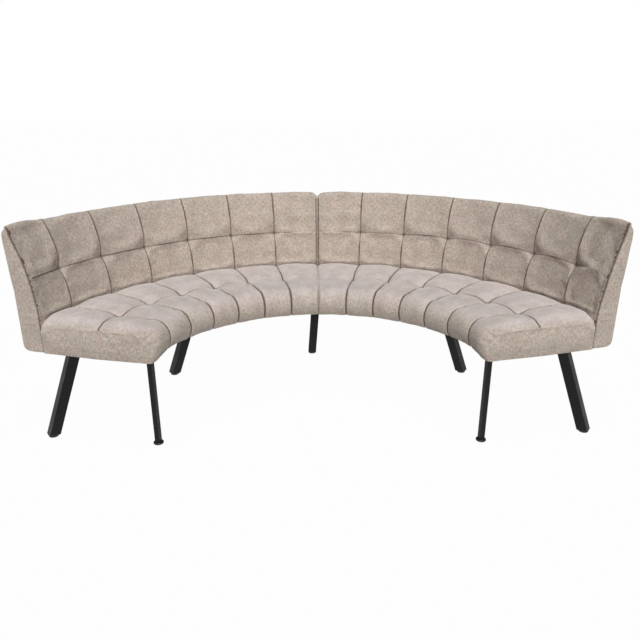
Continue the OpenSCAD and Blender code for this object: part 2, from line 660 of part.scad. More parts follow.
left_side() seat_cushion();  // seat_cushion_left
right_side() seat_cushion();  // seat_cushion_right
left_side() back_cushion();  // back_cushion_left
right_side() back_cushion();  // back_cushion_right
left_side() back_end_panel();  // back_end_panel_left
right_side() back_end_panel();  // back_end_panel_right
left_side() back_joint_panel();  // back_joint_panel_left
right_side() back_joint_panel();  // back_joint_panel_right
left_side() outer_back();  // outer_back_left
right_side() outer_back();  // outer_back_right
left_side() dust_cover(-1);  // dust_cover_left
right_side() dust_cover(1);  // dust_cover_right
left_side() seat_deck();  // seat_deck_left
right_side() seat_deck();  // seat_deck_right
left_side() front_rail();  // front_rail_left
right_side() front_rail();  // front_rail_right
left_side() rear_rail();  // rear_rail_left
right_side() rear_rail();  // rear_rail_right
left_side() base_rail();  // base_rail_left
right_side() base_rail();  // base_rail_right
left_side() top_rail();  // top_rail_left
right_side() top_rail();  // top_rail_right
left_side() back_panel();  // back_panel_left
right_side() back_panel();  // back_panel_right
left_side() seat_ribs();  // seat_ribs_left
right_side() seat_ribs();  // seat_ribs_right
left_side() back_posts();  // back_posts_left
right_side() back_posts();  // back_posts_right
left_side() leg_blocks(-1);  // leg_blocks_left
right_side() leg_blocks(1);  // leg_blocks_right
left_side() leg_end();  // leg_end_left
right_side() leg_end();  // leg_end_right
left_side() leg_mid();  // leg_mid_left
right_side() leg_mid();  // leg_mid_right
placed() leg_frame(centre_top, 0)  // leg_centre
  leg(centre_run, rear_tube_w, centre_plate, centre_plate_bolts);
left_side() leg_front();  // leg_front_left
right_side() leg_front();  // leg_front_right
rear_leg_plugs();
front_leg_plugs();
left_side() glide_at(end_foot);  // glide_end_left
right_side() glide_at(end_foot);  // glide_end_right
left_side() glide_at(mid_foot);  // glide_mid_left
right_side() glide_at(mid_foot);  // glide_mid_right
placed() glide_at(centre_foot);  // glide_centre
left_side() glide_at(front_top);  // glide_front_left
right_side() glide_at(front_top);  // glide_front_right
leg_bolts();
insert_nuts();
union() {  // frame_bolts
  right_side() color(zinc) frame_bolt_set();
  left_side() color(zinc) frame_bolt_set();
}
union() {  // frame_nuts
  right_side() color(zinc) frame_nut_set();
  left_side() color(zinc) frame_nut_set();
}
joint_strap();
strap_bolts();
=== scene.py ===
"""Looks of a half-round upholstered banquette: tufted padding, panels, legs and studio."""

import json
import math

import bpy
import numpy as np
from mathutils import Matrix, Vector, noise


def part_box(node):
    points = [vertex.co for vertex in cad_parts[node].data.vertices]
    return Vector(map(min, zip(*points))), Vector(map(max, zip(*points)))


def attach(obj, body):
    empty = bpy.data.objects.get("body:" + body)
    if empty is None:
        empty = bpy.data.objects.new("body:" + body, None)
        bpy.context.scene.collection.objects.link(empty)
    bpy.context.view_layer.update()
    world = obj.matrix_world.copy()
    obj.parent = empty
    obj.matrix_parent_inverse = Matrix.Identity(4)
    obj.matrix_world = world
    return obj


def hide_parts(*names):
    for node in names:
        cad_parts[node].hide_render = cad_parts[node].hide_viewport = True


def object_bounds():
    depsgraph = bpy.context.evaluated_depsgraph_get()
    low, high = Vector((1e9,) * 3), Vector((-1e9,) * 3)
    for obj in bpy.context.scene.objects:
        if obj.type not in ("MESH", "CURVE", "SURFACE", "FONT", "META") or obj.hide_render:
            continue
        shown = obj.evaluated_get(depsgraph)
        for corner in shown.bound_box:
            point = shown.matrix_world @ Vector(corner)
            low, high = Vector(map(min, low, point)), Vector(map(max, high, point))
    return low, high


bl_info = {
    "name": "Half-round banquette",
    "version": (1, 0, 0),
    "blender": (4, 5, 0),
    "location": "View3D > Sidebar > Banquette",
    "description": "Tufted upholstery, steel legs and a plain studio for a half-round banquette",
    "category": "Object",
}

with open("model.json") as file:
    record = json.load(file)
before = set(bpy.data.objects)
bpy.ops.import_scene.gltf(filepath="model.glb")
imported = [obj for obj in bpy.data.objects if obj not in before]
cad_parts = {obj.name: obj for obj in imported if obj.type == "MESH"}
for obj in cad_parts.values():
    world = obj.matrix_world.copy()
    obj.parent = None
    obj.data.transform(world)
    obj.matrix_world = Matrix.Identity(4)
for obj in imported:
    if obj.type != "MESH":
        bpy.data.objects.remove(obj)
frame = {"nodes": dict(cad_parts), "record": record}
cad_low, cad_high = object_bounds()

# Plan of the bench, in metres and degrees about the centre of its arc
MODULE_ANGLE = 74.2
OUTER_PAD_SHARE = 0.84
COLUMNS = 7
PAD_PITCH = MODULE_ANGLE / (COLUMNS - 1 + OUTER_PAD_SHARE)
FRONT_RADIUS = 0.628
CREASE_RADIUS = 1.113
SEAT_ROW_RADIUS = 0.860
OUTER_BACK_RADIUS = 1.205
OUTER_BACK_THICKNESS = 0.006
START_ANGLE = 0.03
JOINT_PANEL_ANGLE = 0.5
END_PANEL_ANGLE = 0.8
PANEL_GAP_ANGLE = 0.02
JOINT_WRAP_ANGLE = 0.8
END_WRAP_ANGLE = 0.7
FIT = 0.0003
REAR_REACH = 1.21835
ARC_Y = cad_high.y - REAR_REACH

# Heights and thicknesses that the frame gives
EDGE_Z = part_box("seat_cushion_right")[0].z
DECK_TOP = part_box("seat_deck_right")[1].z
FRAME_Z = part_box("front_rail_right")[0].z
BOARD_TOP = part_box("outer_back_right")[1].z
FRAME_RADIUS = 0.658
SEAT_Z = 0.480
SEAT_ROLL = 0.052
FRONT_TUCK = 0.014
HEM_OVER = 0.002
HEM_FALL_ANGLE = 14
BACK_ROW_Z = 0.643
BACK_TOP_Z = 0.827
TOP_ROLL = 0.014
BACK_LEAN = 12.6
FOAM_BASE = 0.017
FOAM_TOP = 0.008


class BanquetteSizes(bpy.types.PropertyGroup):
    """Sizes of the padding that a user would change"""

    seat_crown: bpy.props.FloatProperty(
        name="Seat crown", description="Height of a seat pad's middle above its seams",
        default=0.008, unit="LENGTH")
    seat_rise: bpy.props.FloatProperty(
        name="Seat seam rise", description="Rise of a seat seam between two tufts",
        default=0.011, unit="LENGTH")
    back_crown: bpy.props.FloatProperty(
        name="Back crown", description="Height of a back pad's middle above its seams",
        default=0.006, unit="LENGTH")
    back_rise: bpy.props.FloatProperty(
        name="Back seam rise", description="Rise of a back seam between two tufts",
        default=0.018, unit="LENGTH")
    tuft_depth: bpy.props.FloatProperty(
        name="Tuft depth", description="Extra depth of the stitched crossings",
        default=0.008, unit="LENGTH")
    groove_depth: bpy.props.FloatProperty(
        name="Groove depth", description="Depth of the stitched groove along a seam",
        default=0.0035, unit="LENGTH")
    slack: bpy.props.FloatProperty(
        name="Slack", description="Share by which the cover is cut larger than its pads",
        default=0.006)
    pressure: bpy.props.FloatProperty(
        name="Pressure", description="Push of the foam against its cover", default=3.0)


class BanquetteColours(bpy.types.PropertyGroup):
    """Colours of the finishes"""

    chenille: bpy.props.FloatVectorProperty(
        name="Chenille", description="Main colour of the cover", subtype="COLOR",
        default=(0.490, 0.420, 0.365))
    chenille_shade: bpy.props.FloatVectorProperty(
        name="Chenille shade", description="Colour of the cover's darker yarns", subtype="COLOR",
        default=(0.300, 0.245, 0.205))
    chenille_light: bpy.props.FloatVectorProperty(
        name="Chenille light", description="Colour of the cover's paler yarns", subtype="COLOR",
        default=(0.680, 0.595, 0.535))
    thread: bpy.props.FloatVectorProperty(
        name="Thread", description="Colour inside the seams", subtype="COLOR",
        default=(0.105, 0.068, 0.050))
    steel: bpy.props.FloatVectorProperty(
        name="Steel", description="Powder coat on the legs", subtype="COLOR",
        default=(0.006, 0.0055, 0.0055))
    floor: bpy.props.FloatVectorProperty(
        name="Floor", description="Floor and backdrop", subtype="COLOR",
        default=(0.52, 0.52, 0.52))


def sizes():
    return bpy.context.scene.banquette_sizes


def colours():
    return bpy.context.scene.banquette_colours


# Small curves


def bump(t, sharpness=0.6):
    """Rounded pillow profile over 0 to 1."""
    return np.sin(np.pi * np.clip(t, 0, 1)) ** sharpness


def quilt(across, lengthways, crown, rise):
    """Height of a pad that only its tufts hold down fully; its seams ride up between them."""
    return crown * across * lengthways + rise * (across + lengthways - across * lengthways)


def step(t, low, high):
    """Smooth step from 0 at low to 1 at high."""
    s = np.clip((t - low) / (high - low), 0, 1)
    return s * s * (3 - 2 * s)


def round_off(distance, width):
    """Quarter-round fall: 1 at the edge, 0 at width and beyond."""
    s = np.clip(1 - distance / width, 0, 1)
    return 1 - np.sqrt(1 - s * s)


def crowded(cells, ease):
    """Shares from 0 to 1 that crowd towards both ends."""
    s = np.linspace(0, 1, cells + 1)
    return s - ease * np.sin(2 * np.pi * s) / (2 * np.pi)


def cubic_weights(cells, places):
    """Catmull-Rom weights of cells + 1 even samples at places from 0 to cells."""
    weights = np.zeros((len(places), cells + 1))
    for row, place in enumerate(places):
        i = min(int(place), cells - 1)
        f = place - i
        taps = [(-f + 2 * f**2 - f**3) / 2, (2 - 5 * f**2 + 3 * f**3) / 2,
                (f + 4 * f**2 - 3 * f**3) / 2, (f**3 - f**2) / 2]
        for tap, weight in zip(range(i - 1, i + 3), taps):
            if tap < 0:
                weights[row, 0] += 2 * weight
                weights[row, 1] -= weight
            elif tap > cells:
                weights[row, cells] += 2 * weight
                weights[row, cells - 1] -= weight
            else:
                weights[row, tap] += weight
    return weights


CREASE_HOLD = 0.020


class Stations:
    """Places along a row of pads: coarse ones for the cloth, fine ones for the mesh."""

    def __init__(self, knots, coarse, fine):
        self.knots = knots
        even, crowd = crowded(coarse, 0.3), crowded(fine, 0.8)
        dense = np.linspace(0, 1, 2001)
        eased = dense - 0.3 * np.sin(2 * np.pi * dense) / (2 * np.pi)
        block = cubic_weights(coarse, np.interp(crowd, eased, dense) * coarse)
        pads = len(knots) - 1
        self.coarse = self.lay(even, pads)
        self.fine = self.lay(crowd, pads)
        self.weights = np.zeros((pads * fine + 1, pads * coarse + 1))
        for pad in range(pads):
            rows = slice(pad * fine, pad * fine + fine + 1)
            columns = slice(pad * coarse, pad * coarse + coarse + 1)
            self.weights[rows, :][:, columns] = 0
            self.weights[rows, columns] = block

    def lay(self, shares, pads):
        """Pad number, share of the pad and value of each place."""
        pad = np.concatenate([np.full(len(shares) - 1, p) for p in range(pads)] + [[pads - 1]])
        share = np.concatenate([shares[:-1]] * pads + [[1.0]])
        knots = np.array(self.knots)
        return pad, share, knots[pad] + share * (knots[pad + 1] - knots[pad])


def polar(radius, height, angle):
    """Points of the right-hand module from radius, height and angle in degrees."""
    a = np.radians(angle)
    return np.stack(np.broadcast_arrays(radius * np.sin(a), ARC_Y + radius * np.cos(a), height),
                    -1)


def grid_normals(points):
    """Unit normals of a grid, from its two directions."""
    across = np.gradient(points, axis=0)
    along = np.gradient(points, axis=1)
    normals = np.cross(along, across)
    return normals / np.maximum(np.linalg.norm(normals, axis=-1, keepdims=True), 1e-12)


def fractal(points, scale, seed, octaves=3):
    """Smooth noise from -1 to 1 at points."""
    shift = Vector((seed * 7.3, seed * 3.1, seed * 5.7))
    flat = points.reshape(-1, 3) * scale
    values = [noise.fractal(Vector(p) + shift, 0.5, 2.0, octaves) for p in flat]
    return np.array(values).reshape(points.shape[:-1])


# Cloth


def inflate(points, pinned, limit):
    """Blows a pinned cover up with the cloth simulation and returns where its points come to lie."""
    rows, cols = points.shape[:2]
    index = np.arange(rows * cols).reshape(rows, cols)
    faces = np.stack([index[:-1, :-1], index[:-1, 1:], index[1:, 1:], index[1:, :-1]], -1)
    mesh = bpy.data.meshes.new("cover_cut")
    mesh.from_pydata(points.reshape(-1, 3).tolist(), [], faces.reshape(-1, 4).tolist())
    cover = bpy.data.objects.new("cover_cut", mesh)
    bpy.context.scene.collection.objects.link(cover)
    group = cover.vertex_groups.new(name="stitched")
    group.add(np.flatnonzero(pinned.ravel()).tolist(), 1.0, "REPLACE")
    cloth = cover.modifiers.new("Cloth", "CLOTH")
    settings = cloth.settings
    settings.quality = 5
    settings.mass = 0.2
    settings.tension_stiffness = 15
    settings.compression_stiffness = 15
    settings.shear_stiffness = 8
    settings.bending_stiffness = 5
    settings.air_damping = 3
    settings.vertex_group_mass = "stitched"
    settings.use_pressure = True
    settings.uniform_pressure_force = sizes().pressure
    settings.shrink_min = -sizes().slack
    settings.shrink_max = -sizes().slack
    settings.effector_weights.gravity = 0
    cloth.collision_settings.use_collision = False
    cloth.collision_settings.use_self_collision = False
    scene = bpy.context.scene
    for number in range(1, 21):
        scene.frame_set(number)
    settled = cover.evaluated_get(bpy.context.evaluated_depsgraph_get())
    moved = np.empty(rows * cols * 3, np.float32)
    settled.data.vertices.foreach_get("co", moved)
    bpy.data.objects.remove(cover)
    bpy.data.meshes.remove(mesh)
    scene.frame_set(1)
    move = moved.reshape(points.shape).astype(float) - points
    length = np.linalg.norm(move, axis=-1, keepdims=True)
    return points + move * np.minimum(1, limit / np.maximum(length, 1e-9))


# Meshes


class Cover:
    """Grids and flat faces that are sewn into one closed mesh."""

    def __init__(self):
        self.points, self.uvs, self.gaps, self.painted_top_lights = [], [], [], []
        self.quads, self.flats = [], []
        self.count = 0

    def grid(self, points, uv, gap=None):
        rows, cols = points.shape[:2]
        index = np.arange(rows * cols).reshape(rows, cols) + self.count
        quads = np.stack([index[:-1, :-1], index[:-1, 1:], index[1:, 1:], index[1:, :-1]], -1)
        self.points.append(points.reshape(-1, 3))
        self.uvs.append(uv.reshape(-1, 2))
        self.gaps.append(np.full(rows * cols, 1.0) if gap is None else gap.ravel())
        # Painted light: how far each point faces up, which the cloth material turns into a paler,
        # pinker top for light from above and the pile's sheen
        self.painted_top_lights.append(np.clip(grid_normals(points)[..., 2], 0, 1).ravel())
        self.quads.append(quads.reshape(-1, 4))
        self.count += rows * cols

    def flat(self, points):
        points = np.array(points)
        self.flats.append(list(range(self.count, self.count + len(points))))
        self.points.append(points)
        self.uvs.append(points[:, :2])
        self.gaps.append(np.full(len(points), 1.0))
        self.painted_top_lights.append(np.zeros(len(points)))
        self.count += len(points)

    def sew(self, name, side, material, node):
        points = np.concatenate(self.points) * (side, 1, 1)
        faces = [f for block in self.quads for f in block.tolist()] + self.flats
        mesh = bpy.data.meshes.new(name)
        mesh.from_pydata(points.tolist(), [], faces)
        uv = np.concatenate(self.uvs)
        corners = np.empty(len(mesh.loops), np.int32)
        mesh.loops.foreach_get("vertex_index", corners)
        layer = mesh.uv_layers.new(name="cloth")
        layer.data.foreach_set("uv", uv[corners].astype(np.float32).ravel())
        for key, values in (("seam_and_shade_gap", self.gaps), ("painted_top_light", self.painted_top_lights)):
            layer = mesh.attributes.new(key, "FLOAT", "POINT")
            layer.data.foreach_set("value", np.concatenate(values).astype(np.float32))
        piece = bpy.data.objects.new(name, mesh)
        bpy.context.scene.collection.objects.link(piece)
        bpy.ops.object.select_all(action="DESELECT")
        bpy.context.view_layer.objects.active = piece
        piece.select_set(True)
        bpy.ops.object.mode_set(mode="EDIT")
        bpy.ops.mesh.select_all(action="SELECT")
        bpy.ops.mesh.remove_doubles(threshold=1e-6)
        bpy.ops.mesh.normals_make_consistent(inside=False)
        bpy.ops.object.mode_set(mode="OBJECT")
        bpy.ops.object.shade_smooth_by_angle(angle=math.radians(50))
        piece.select_set(False)
        mesh.materials.append(material)
        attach(piece, "bench")
        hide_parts(node)
        return piece


# Seat


FLAT_LENGTH = SEAT_ROW_RADIUS - FRONT_RADIUS - SEAT_ROLL
ROLL_LENGTH = SEAT_ROLL * math.pi / 2
FACE_LENGTH = SEAT_Z - SEAT_ROLL - EDGE_Z
REAR_LENGTH = CREASE_RADIUS - FIT - SEAT_ROW_RADIUS
FRONT_LENGTH = FLAT_LENGTH + ROLL_LENGTH + FACE_LENGTH
SEAT_END_ROUND = 3.4
JOINT_ROUND = 1.3
END_DROP = 0.024
CREASE_END_DROP = 0.020
CORNER_DRAW = 0.034
JOINT_DROP = 0.006
# Reach of a tuft's dip, and how dark a tuft is beside a seam, by the distance from it; the dark spot
# round a tuft is painted shade of its dip, together with the pile crushed there
TUFT_REACH = 0.034
TUFT_SHADE = 0.35
# How much finer the dark of the seat's seams is than that of the back's
SEAT_SEAM = 1.3
# Height of the line of stitches above the hem, and how faint it is beside a seam
HEM_STITCH = 0.010
HEM_FAINT = 0.0032


def seat_path(row, t):
    """Radius, height and normal of the seat's bare outline; row 0 is the rear row."""
    s = t * FRONT_LENGTH
    q = np.clip((s - FLAT_LENGTH) / ROLL_LENGTH, 0, 1) * np.pi / 2
    f = np.clip((s - FLAT_LENGTH - ROLL_LENGTH) / FACE_LENGTH, 0, 1)
    front_r = (SEAT_ROW_RADIUS - np.minimum(s, FLAT_LENGTH) - SEAT_ROLL * np.sin(q)
               + FRONT_TUCK * f * f)
    front_z = SEAT_Z - SEAT_ROLL * (1 - np.cos(q)) - FACE_LENGTH * f
    rear_r = CREASE_RADIUS - FIT - REAR_LENGTH * t
    rear = row == 0
    return (np.where(rear, rear_r, front_r), np.where(rear, SEAT_Z, front_z),
            np.where(rear, 0, -np.sin(q)), np.where(rear, 1, np.cos(q)))


def hem_lift(angle):
    """Height of the seat's front hem above the bottom edge at the ends."""
    fall = np.maximum(0, 1 - (MODULE_ANGLE - angle) / HEM_FALL_ANGLE)
    return (FRAME_Z - HEM_OVER - EDGE_Z) * (1 - fall * fall)


def tuft_distance(angle, from_row, radius):
    """Distance to the nearest crossing of two seams, far away beyond the first and last one."""
    sideways = (angle - np.round(angle / PAD_PITCH) * PAD_PITCH) * np.radians(radius)
    tufted = (angle > PAD_PITCH / 2) & (angle < PAD_PITCH * (COLUMNS - 0.6))
    return np.where(tufted, np.hypot(sideways, from_row), 1.0)


def seat_skin(columns, rows, seed):
    """Coarse points of the seat's cover, before it is blown up."""
    pad, u, angle = (a[:, None] for a in columns)
    row, t, along = (a[None, :] for a in rows)
    radius, height, normal_r, normal_z = seat_path(row, t)
    last, first = pad == COLUMNS - 1, pad == 0
    merge = np.where(last, step(u, 0.9, 1.0), 0) + np.where(first, step(1 - u, 0.35, 0.8), 0)
    at_row = np.where(row == 0, step(t, 0.5, 0.6), step(1 - t, 0.5, 0.6))
    across = bump(u)
    lengthways = bump(t)
    lengthways = lengthways + (1 - lengthways) * merge * at_row
    rng = np.random.default_rng(seed)
    plump = 1 + 0.12 * rng.uniform(-1, 1, (COLUMNS, 2))[pad.astype(int), row.astype(int)]
    lift = plump * quilt(across, lengthways, sizes().seat_crown, sizes().seat_rise)
    near_tuft = tuft_distance(angle, along - REAR_LENGTH, SEAT_ROW_RADIUS)
    lift = lift - sizes().tuft_depth * np.exp(-(near_tuft / TUFT_REACH) ** 2)
    lift = lift * step(CREASE_RADIUS - FIT - radius, -0.004, CREASE_HOLD)
    held = (1 - 0.5 * step(t, 0.5, 0.85)) * (1 - step(t, 0.9, 0.99))
    lift = lift * np.where(row == 1, held, 1)
    from_end, from_joint = MODULE_ANGLE - angle, angle - START_ANGLE
    end, joint = round_off(from_end, SEAT_END_ROUND), round_off(from_joint, JOINT_ROUND)
    crease = np.exp(-((CREASE_RADIUS - radius) / 0.05) ** 2)
    drop = (END_DROP + CREASE_END_DROP * crease) * end + JOINT_DROP * joint
    drop = drop * (height - EDGE_Z) / (SEAT_Z - EDGE_Z)
    near = np.clip((SEAT_ROW_RADIUS - radius) / (SEAT_ROW_RADIUS - FRONT_RADIUS), 0, 1) ** 2
    draw = (CORNER_DRAW * end + JOINT_DROP * joint) * near
    tuck_up = (0.007 * end * near * step(EDGE_Z + 0.06 - height, 0, 0.06)
               + hem_lift(angle) * np.clip(1 - (height - EDGE_Z) / FACE_LENGTH, 0, 1))
    return polar(radius + normal_r * lift + draw, height + normal_z * lift - drop + tuck_up,
                 angle)


def stitched_lines(columns, rows, loose_top=None):
    """Coarse points that the thread or a border holds."""
    count_u, count_v = len(columns[1]), len(rows[1])
    pinned = np.zeros((count_u, count_v), bool)
    pinned[:, [0, -1]] = True
    pinned[[0, -1], :] = True
    seams_u = np.flatnonzero(columns[1] == 0)
    pinned[seams_u, :] = True
    seams_v = np.flatnonzero(rows[1] == 0)
    pinned[:, seams_v] = True
    if loose_top is not None:
        free = (rows[2] > loose_top)[None, :] & np.ones((count_u, 1), bool)
        free[:, -1] = False
        free[[0, -1], :] = False
        pinned &= ~free
    return pinned


def seam_distance(columns, rows, radius, row_place, fade_u, fade_v):
    """Distance of each fine point from the nearest seam; a faded seam counts as farther away."""
    angle, along = columns[2][:, None], rows[2][None, :]
    nearest = np.clip(np.round(angle / PAD_PITCH), 1, COLUMNS - 1) * PAD_PITCH
    to_column = np.abs(angle - nearest) * np.radians(radius) + fade_u
    to_row = np.abs(along - row_place) + fade_v
    return np.minimum(to_column, to_row)


def groove(points, gap, depth, width=0.004):
    """Sinks the seams into the pads."""
    return points - grid_normals(points) * (depth * np.exp(-(gap / width) ** 2))[..., None]


def roughen(points, gap, seed):
    """Slight unevenness of foam and cover, still at the seams."""
    free = np.clip(gap / 0.02, 0, 1)[..., None]
    broad = fractal(points, 9, seed, 2)[..., None] * 0.0022
    fine = fractal(points, 34, seed + 4, 2)[..., None] * 0.0008
    return points + grid_normals(points) * (broad + fine) * free


def coons(top, front, bottom, rear):
    """Grid that fills four borders; top and bottom run rear to front, the others downwards."""
    u = np.linspace(0, 1, len(top))[:, None, None]
    v = np.linspace(0, 1, len(front))[None, :, None]
    ruled_u = (1 - v) * top[:, None] + v * bottom[:, None]
    ruled_v = (1 - u) * rear[None, :] + u * front[None, :]
    corners = ((1 - u) * (1 - v) * top[0] + u * (1 - v) * top[-1]
               + (1 - u) * v * bottom[0] + u * v * bottom[-1])
    return ruled_u + ruled_v - corners


def seat_cover(side, seed, material):
    columns = Stations([START_ANGLE] + [PAD_PITCH * k for k in range(1, COLUMNS)]
                       + [MODULE_ANGLE], 14, 34)
    rows = Stations([0, REAR_LENGTH, REAR_LENGTH + FRONT_LENGTH], 22, 52)
    start = seat_skin(columns.coarse, rows.coarse, seed)
    blown = inflate(start, stitched_lines(columns.coarse, rows.coarse), 0.012)
    skin = np.einsum("ai,bj,ijc->abc", columns.weights, rows.weights, blown)
    pad, u, angle = (a[:, None] for a in columns.fine)
    along = rows.fine[2][None, :]
    radius = np.hypot(skin[..., 0], skin[..., 1] - ARC_Y)
    fade_v = 0.01 * np.where(pad == 0, step(1 - u, 0.2, 0.6), 0) + 0 * along
    gap = seam_distance(columns.fine, rows.fine, radius, REAR_LENGTH, 0, fade_v)
    skin = roughen(groove(skin, gap, sizes().groove_depth), gap, seed)
    cover = Cover()
    uv = np.stack(np.broadcast_arrays(np.radians(angle) * 0.9, along), -1)
    to_hem = np.abs(REAR_LENGTH + FRONT_LENGTH - along - HEM_STITCH) + HEM_FAINT + 0 * angle
    to_tuft = tuft_distance(angle, along - REAR_LENGTH, SEAT_ROW_RADIUS)
    # Painted shade: the seam's dark widens into a spot round each tuft, for the shade in its dip and
    # its crushed pile
    gap = np.minimum(gap * SEAT_SEAM, to_tuft * TUFT_SHADE)
    cover.grid(skin, uv, np.minimum(gap, to_hem))

    # Underside: under the front foam, up to the deck and back to the crease
    lip, rear = FRAME_RADIUS - FIT, CREASE_RADIUS - FIT
    angles = columns.fine[2]
    at_end = angles > MODULE_ANGLE - END_WRAP_ANGLE
    at_joint = angles < JOINT_WRAP_ANGLE
    hollow = np.where(at_end, EDGE_Z, np.where(at_joint, FRAME_Z, DECK_TOP + FIT))
    lip_r = np.where(at_end, lip + CORNER_DRAW / 2, lip)
    foot = polar(lip_r, skin[:, -1, 2], angles)
    inside = polar(np.where(at_end, (lip + rear) / 2, lip), hollow, angles)
    seatback = polar(np.full_like(angles, rear), hollow, angles)
    strip = np.stack([skin[:-1, -1], foot[:-1], inside[:-1], seatback[:-1], skin[:-1, 0]], 1)
    cover.grid(strip, np.stack([strip[..., 0], strip[..., 1]], -1))
    cover.flat(list(skin[0]) + [foot[0], inside[0], seatback[0]])

    # Outer end: a boxing panel between the pads' border and the bottom edge
    border = skin[-1]
    turn = 52 + 26
    top, front = border[:turn + 1], border[turn:]
    bottom_rear = seatback[-1]
    bottom = bottom_rear + np.linspace(0, 1, turn + 1)[:, None] * (border[-1] - bottom_rear)
    rear_edge = border[0] + np.linspace(0, 1, len(front))[:, None] * (bottom_rear - border[0])
    face = coons(top, front, bottom, rear_edge)
    face_r = np.hypot(face[..., 0], face[..., 1] - ARC_Y)
    # Distance from the panel's borders, for its bulge and its seams; the dark line along the rear
    # border is the seam there together with painted shade of the corner against the gusset
    def away(line):
        return np.min(np.linalg.norm(face[:, :, None] - line[None, None, ::4], axis=-1), 2)
    from_top, from_front = away(top), away(front)
    from_bottom, from_rear = away(bottom), away(rear_edge)
    edge = np.minimum(np.minimum(from_top, from_bottom + 0.004), from_rear)
    swell = 0.006 * step(edge, 0, 0.045) * np.clip(from_front / 0.03, 0, 1)
    inner = np.zeros(face.shape[:2])
    inner[1:-1, 1:-1] = 1
    outward = np.array([math.cos(math.radians(MODULE_ANGLE)),
                        -math.sin(math.radians(MODULE_ANGLE)), 0])
    wave = fractal(face, 12, seed + 9, 2) * 0.002 * np.clip(edge / 0.02, 0, 1)
    face = face + ((swell + wave) * inner)[..., None] * outward
    face_uv = np.stack([face_r, face[..., 2]], -1)
    # Painted shade: the dark line along the rear border is a seam darkened for the corner where the
    # seat's end meets the gusset
    cover.grid(face, face_uv, np.minimum(from_rear, np.abs(from_bottom - 0.007) + HEM_FAINT))
    cover.flat([skin[-2, -1], foot[-2], inside[-2], seatback[-2]] + list(bottom))
    cover.flat([skin[-2, 0]] + list(rear_edge) + [seatback[-2]])
    name = "left" if side < 0 else "right"
    return cover.sew(f"seat_padding_{name}", side, material, f"seat_cushion_{name}")


# Back


BACK_FOOT_Z = SEAT_Z + 2 * FIT
LEAN = math.radians(BACK_LEAN)
ROLL_Z = BACK_TOP_Z - TOP_ROLL
FACE_TOP_Z = ROLL_Z + TOP_ROLL * math.sin(LEAN)
LOW_LENGTH = (BACK_ROW_Z - BACK_FOOT_Z) / math.cos(LEAN)
HIGH_LENGTH = (FACE_TOP_Z - BACK_ROW_Z) / math.cos(LEAN)
TOP_LENGTH = TOP_ROLL * (math.pi - LEAN)
BACK_START = START_ANGLE + JOINT_PANEL_ANGLE + PANEL_GAP_ANGLE
BACK_END = MODULE_ANGLE - END_PANEL_ANGLE - PANEL_GAP_ANGLE
HOOK_Z = BOARD_TOP
BACK_RADIUS = 1.15
END_BOW = 0.019
TOP_HOLD = 0.7
# The row seam differs on the two sides, by its arch in a pad, its pinch at the side seam and
# the place where it ends in the outermost pad
ROW_ARCH = {1: 0.010, -1: 0.001}
ROW_PINCH = {1: 0.001, -1: 0.008}
ROW_END = {1: (0.25, 0.7), -1: (0.97, 1.0)}
# The outermost pad stands up to its corner, and its side seam rides forward by this share
END_RISE = {1: 0.016, -1: 0.013}
ARCH_ANGLES = (10, 35)
CORNER_ANGLES = (61, 73)
SIDE_BOW = {1: 0.45, -1: 1.0}


def front_line(z):
    """Radius of the back's bare front face."""
    return CREASE_RADIUS + np.maximum(0, z - SEAT_Z) * math.tan(LEAN)


ROLL_R = float(front_line(ROLL_Z)) + TOP_ROLL / math.cos(LEAN)


def bow(z):
    """How far the side seam rides forward of the seams between the pads."""
    return END_BOW * bump((z - SEAT_Z) / (BACK_TOP_Z - SEAT_Z), 0.8)


def back_path(row, t):
    """Radius, height and normal of the back's bare outline, from its foot over the top."""
    low_z = BACK_FOOT_Z + (BACK_ROW_Z - BACK_FOOT_Z) * t
    s = t * (HIGH_LENGTH + TOP_LENGTH)
    face_z = BACK_ROW_Z + np.minimum(s, HIGH_LENGTH) * math.cos(LEAN)
    q = math.pi - LEAN - np.clip((s - HIGH_LENGTH) / TOP_LENGTH, 0, 1) * (math.pi - LEAN)
    on_roll = s > HIGH_LENGTH
    high_r = np.where(on_roll, ROLL_R + TOP_ROLL * np.cos(q), front_line(face_z))
    high_z = np.where(on_roll, ROLL_Z + TOP_ROLL * np.sin(q), face_z)
    low = row == 0
    return (np.where(low, front_line(low_z) + FIT, high_r), np.where(low, low_z, high_z),
            np.where(low | ~on_roll, -math.cos(LEAN), np.cos(q)),
            np.where(low | ~on_roll, math.sin(LEAN), np.sin(q)))


